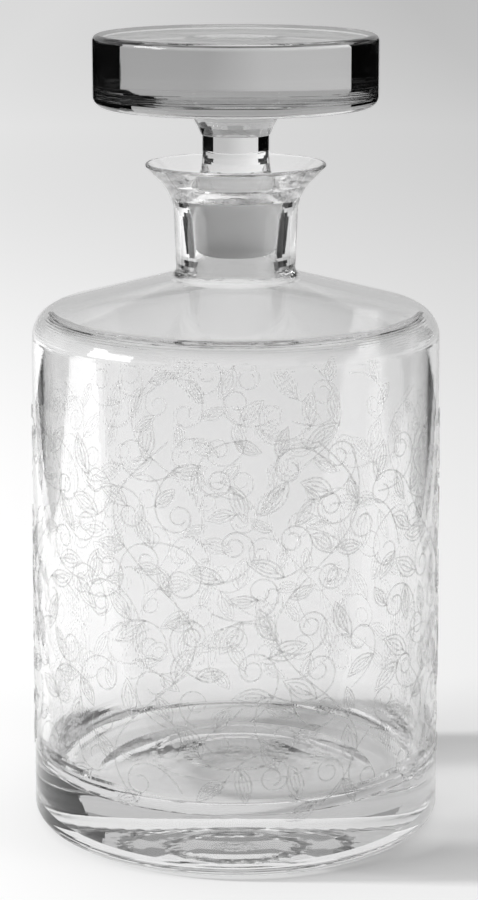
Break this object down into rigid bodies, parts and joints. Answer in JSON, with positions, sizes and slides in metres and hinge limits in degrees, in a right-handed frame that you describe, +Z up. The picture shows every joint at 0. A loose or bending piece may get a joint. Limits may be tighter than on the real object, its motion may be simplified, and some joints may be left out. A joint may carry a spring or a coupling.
{
  "type": "cordial decanter",
  "caption": "Straight-sided clear glass decanter with thick base, sloping shoulder, short neck and flared lip, closed by a lift-out solid disc stopper.",
  "frame": {"origin": "centre of the plane that the bottle's base ring rests on", "axes": "+Z up along the axis of revolution, towards the stopper; -Y faces the viewer of the picture"},
  "size_m": [0.1, 0.1, 0.1916],
  "materials": {
    "bottle_glass": "clear polished blown glass with a fine frosted vine etched on the straight wall",
    "stopper_glass": "clear polished solid glass with a ground plug"
  },
  "bodies": {
    "bottle": {"bottle": "bottle_glass"},
    "stopper": {"stopper": "stopper_glass"}
  },
  "joints": [
    {"name": "stopper_lift", "type": "slide", "parent": "bottle", "child": "stopper", "axis": [0, 0, 1], "range_m": [0, 0.05]}
  ]
}
